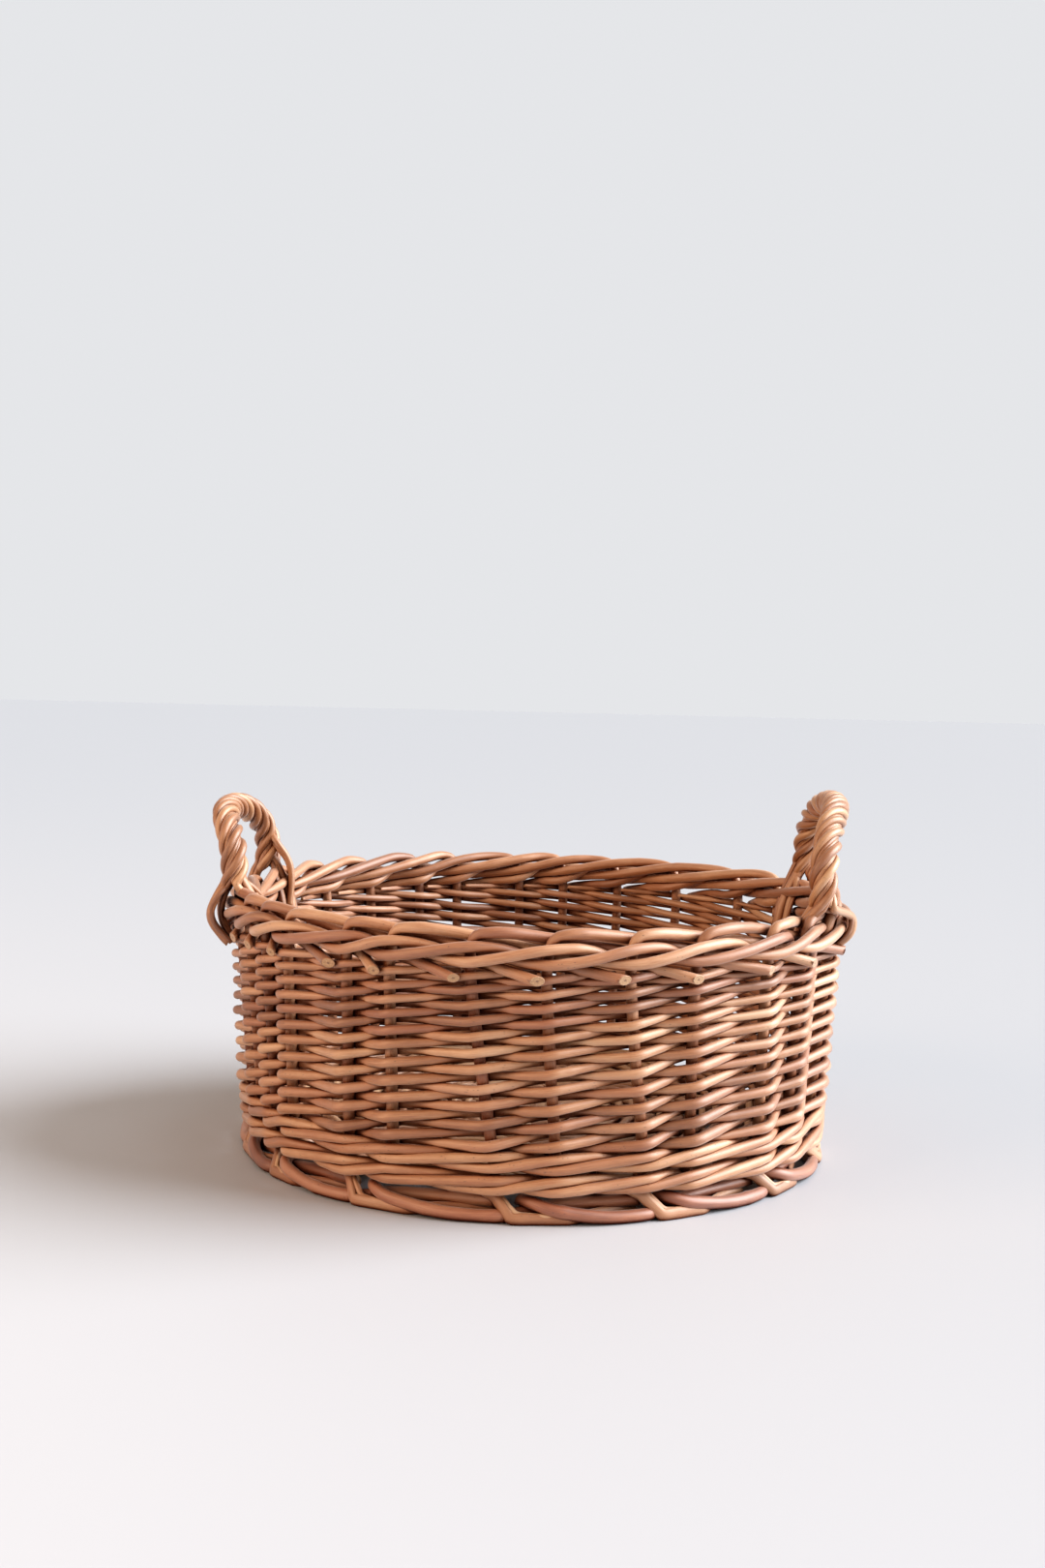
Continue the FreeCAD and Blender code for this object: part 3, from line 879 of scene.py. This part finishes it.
def handle_wraps(side):
    near, far, top, lean = HANDLES[side]
    weave = Weave(9 if side == "left" else 10)
    rng = weave.rng
    arch = arch_line(near, far, top, lean)
    lengths = np.r_[0.0, np.cumsum(np.linalg.norm(np.diff(arch, axis=0), axis=1))]
    winding_turns = round((lengths[-1] - 2 * WRAP_MARGIN) / WRAP_LAY - 0.5) + 0.5
    along = unit(np.gradient(arch, axis=0))
    outer_spread = math.degrees(WRAP_RADIUS / HANDLE_RADIUS)
    inner_spread = math.degrees((WRAP_RADIUS + BOW_RADIUS) / HANDLE_RADIUS)
    outer_tail = OUTER_TAILS[side]
    near_shift = OUTER_TAIL_SHIFTS[side]
    closer_tail = tuple((out * 0.68, height) for out, height in outer_tail)
    tails = ((outer_tail, -outer_spread, near_shift), (closer_tail, outer_spread, near_shift),
             (INNER_TAIL, inner_spread, 0.0), (INNER_TAIL, -inner_spread, 0.0))
    stops = round(winding_turns * 16)
    for strand, (tail, spread, shift) in enumerate(tails):
        far_tail, far_spread = tails[(strand + 2) % WRAP_COUNT][:2]
        tone = rng.uniform(0.25, 0.8)
        wander = wandering(rng, np.arange(stops + 1.0), 5.0, 0.09)
        for sideways, lift, radius in WRAP_BAND:
            winding = []
            for stop in range(stops + 1):
                distance = WRAP_MARGIN + (lengths[-1] - 2 * WRAP_MARGIN) * stop / stops
                centre = np.array([np.interp(distance, lengths, arch[:, i]) for i in range(3)])
                ahead = unit(np.array([np.interp(distance, lengths, along[:, i]) for i in range(3)]))
                radial = np.array([centre[0], centre[1], 0.0])
                outward = unit(radial - ahead * (radial @ ahead))
                across = np.cross(ahead, outward)
                helix = BOW_RADIUS + 1.5 + lift
                angle = 2 * math.pi * (winding_turns * stop / stops + strand / WRAP_COUNT)
                slip = WRAP_SLOPE * sideways
                spin = angle + wander[stop] - slip / helix
                around = outward * math.cos(spin) + across * math.sin(spin)
                winding.append(centre + around * helix + ahead * slip)
            fan = math.degrees(sideways * 0.8 / HANDLE_RADIUS)
            near_points = reversed(tail_points(near + shift + spread + fan, tail))
            far_points = tail_points(far - far_spread + fan, far_tail)
            down_near = [point + rng.normal(0.0, 0.4, 3) for point in near_points]
            down_far = [point + rng.normal(0.0, 0.4, 3) for point in far_points]
            line, distances = rounded_line([*down_near, *winding, *down_far], spacing=1.8)
            weave.rod(line, distances, radius, sides=10, side=(0.0, 1.0, 0.0),
                      tone=tone + rng.uniform(-0.3, 0.3), warmth=rng.uniform(0.0, 0.8))
    for radius, bends in LOOSE_RODS[side]:
        line, distances = rounded_line([place(*bend) for bend in bends], spacing=1.6)
        weave.rod(line, distances, radius, sides=12, side=(0.0, 1.0, 0.0))
    return weave.piece(f"{side}_handle_rope", f"{side}_handle_wraps", HANDLE_WILLOW)


# ---- studio ----

CAMERA_SENSOR = 36.0
CAMERA_LENS = 43.32222
CAMERA_PITCH = math.radians(4.409)
CAMERA_ROLL = math.radians(1.366)
FLOOR_COLOUR = (0.52, 0.546, 0.592)
FLOOR_ROUGHNESS = 0.55
FLOOR_REACH = 6.0
WINDOW_TURN = math.radians(90.0)
WINDOW_RISE = math.radians(29.0)
BACKDROP_BRIGHTNESS = 0.69
BACKDROP_COLOUR = (0.965, 0.975, 1.0)
SKY_BRIGHTNESS = 0.42
SKY_COLOUR = (1.0, 0.91, 0.83)


def camera():
    """The camera stands in front, a little over the rim, and looks slightly down."""
    data = bpy.data.cameras.new("camera")
    data.sensor_width = CAMERA_SENSOR
    data.lens = CAMERA_LENS
    pitch = CAMERA_PITCH
    roll = CAMERA_ROLL
    ahead = Vector((0.0, math.cos(pitch), -math.sin(pitch)))
    level_right = Vector((1.0, 0.0, 0.0))
    level_up = Vector((0.0, math.sin(pitch), math.cos(pitch)))
    right = level_right * math.cos(roll) + level_up * math.sin(roll)
    up = level_up * math.cos(roll) - level_right * math.sin(roll)
    made = bpy.data.objects.new("camera", data)
    basis = Matrix((right, up, -ahead)).transposed()
    made.matrix_world = Matrix.Translation(Vector((-9.62, -1012.7, 271.7)) * MM) @ basis.to_4x4()
    bpy.context.scene.collection.objects.link(made)
    bpy.context.scene.camera = made


def floor():
    size = FLOOR_REACH
    corners = [(-size, -size, 0.0), (size, -size, 0.0), (size, size, 0.0), (-size, size, 0.0)]
    mesh = bpy.data.meshes.new("floor")
    mesh.from_pydata(corners, [], [(0, 1, 2, 3)])
    mesh.materials.append(plain_surface("floor", FLOOR_COLOUR, FLOOR_ROUGHNESS))
    made = bpy.data.objects.new("floor", mesh)
    bpy.context.scene.collection.objects.link(made)


def area_light(name, position, size, power, colour):
    data = bpy.data.lights.new(name, "AREA")
    data.size = size
    data.energy = power
    data.color = colour
    made = bpy.data.objects.new(name, data)
    made.location = position
    made.rotation_mode = "QUATERNION"
    made.rotation_quaternion = (Vector((0.0, 0.0, 0.08)) - Vector(position)).to_track_quat("-Z", "Y")
    bpy.context.scene.collection.objects.link(made)


def lights():
    data = bpy.data.lights.new("window", "SUN")
    data.angle = math.radians(52.0)
    data.energy = 5.7
    data.color = (0.98, 0.99, 1.0)
    made = bpy.data.objects.new("window", data)
    level = math.cos(WINDOW_RISE)
    towards = Vector((-math.sin(WINDOW_TURN) * level, math.cos(WINDOW_TURN) * level, -math.sin(WINDOW_RISE)))
    made.rotation_mode = "QUATERNION"
    made.rotation_quaternion = towards.to_track_quat("-Z", "Y")
    bpy.context.scene.collection.objects.link(made)
    area_light("warm_fill", (-1.4, -0.9, 0.75), 1.2, 16.0, (1.0, 0.66, 0.42))
    world = bpy.data.worlds.new("studio")
    bpy.context.scene.world = world
    world.use_nodes = True
    tree = world.node_tree
    background = tree.nodes["Background"]
    seen = tree.nodes.new("ShaderNodeLightPath")
    colour = mixed(tree, seen.outputs["Is Camera Ray"], SKY_COLOUR, BACKDROP_COLOUR)
    link(tree, colour, background.inputs["Color"])
    brighter = BACKDROP_BRIGHTNESS - SKY_BRIGHTNESS
    strength = math_node(tree, "MULTIPLY_ADD", seen.outputs["Is Camera Ray"], brighter)
    strength.node.inputs[2].default_value = SKY_BRIGHTNESS
    link(tree, strength, background.inputs["Strength"])
    bpy.context.scene.view_settings.view_transform = "Standard"
    bpy.context.scene.view_settings.look = "Medium High Contrast"


passing_sticks()
slit_sticks()
base_weave()
for stake in range(STAKE_COUNT):
    side_stake(stake)
upsett_wale()
for stake in range(STAKE_COUNT // 2):
    side_weavers(stake)
kinked_foot()
running_foot()
for side in HANDLES:
    handle_bow(side)
    handle_wraps(side)
floor()
lights()
camera()
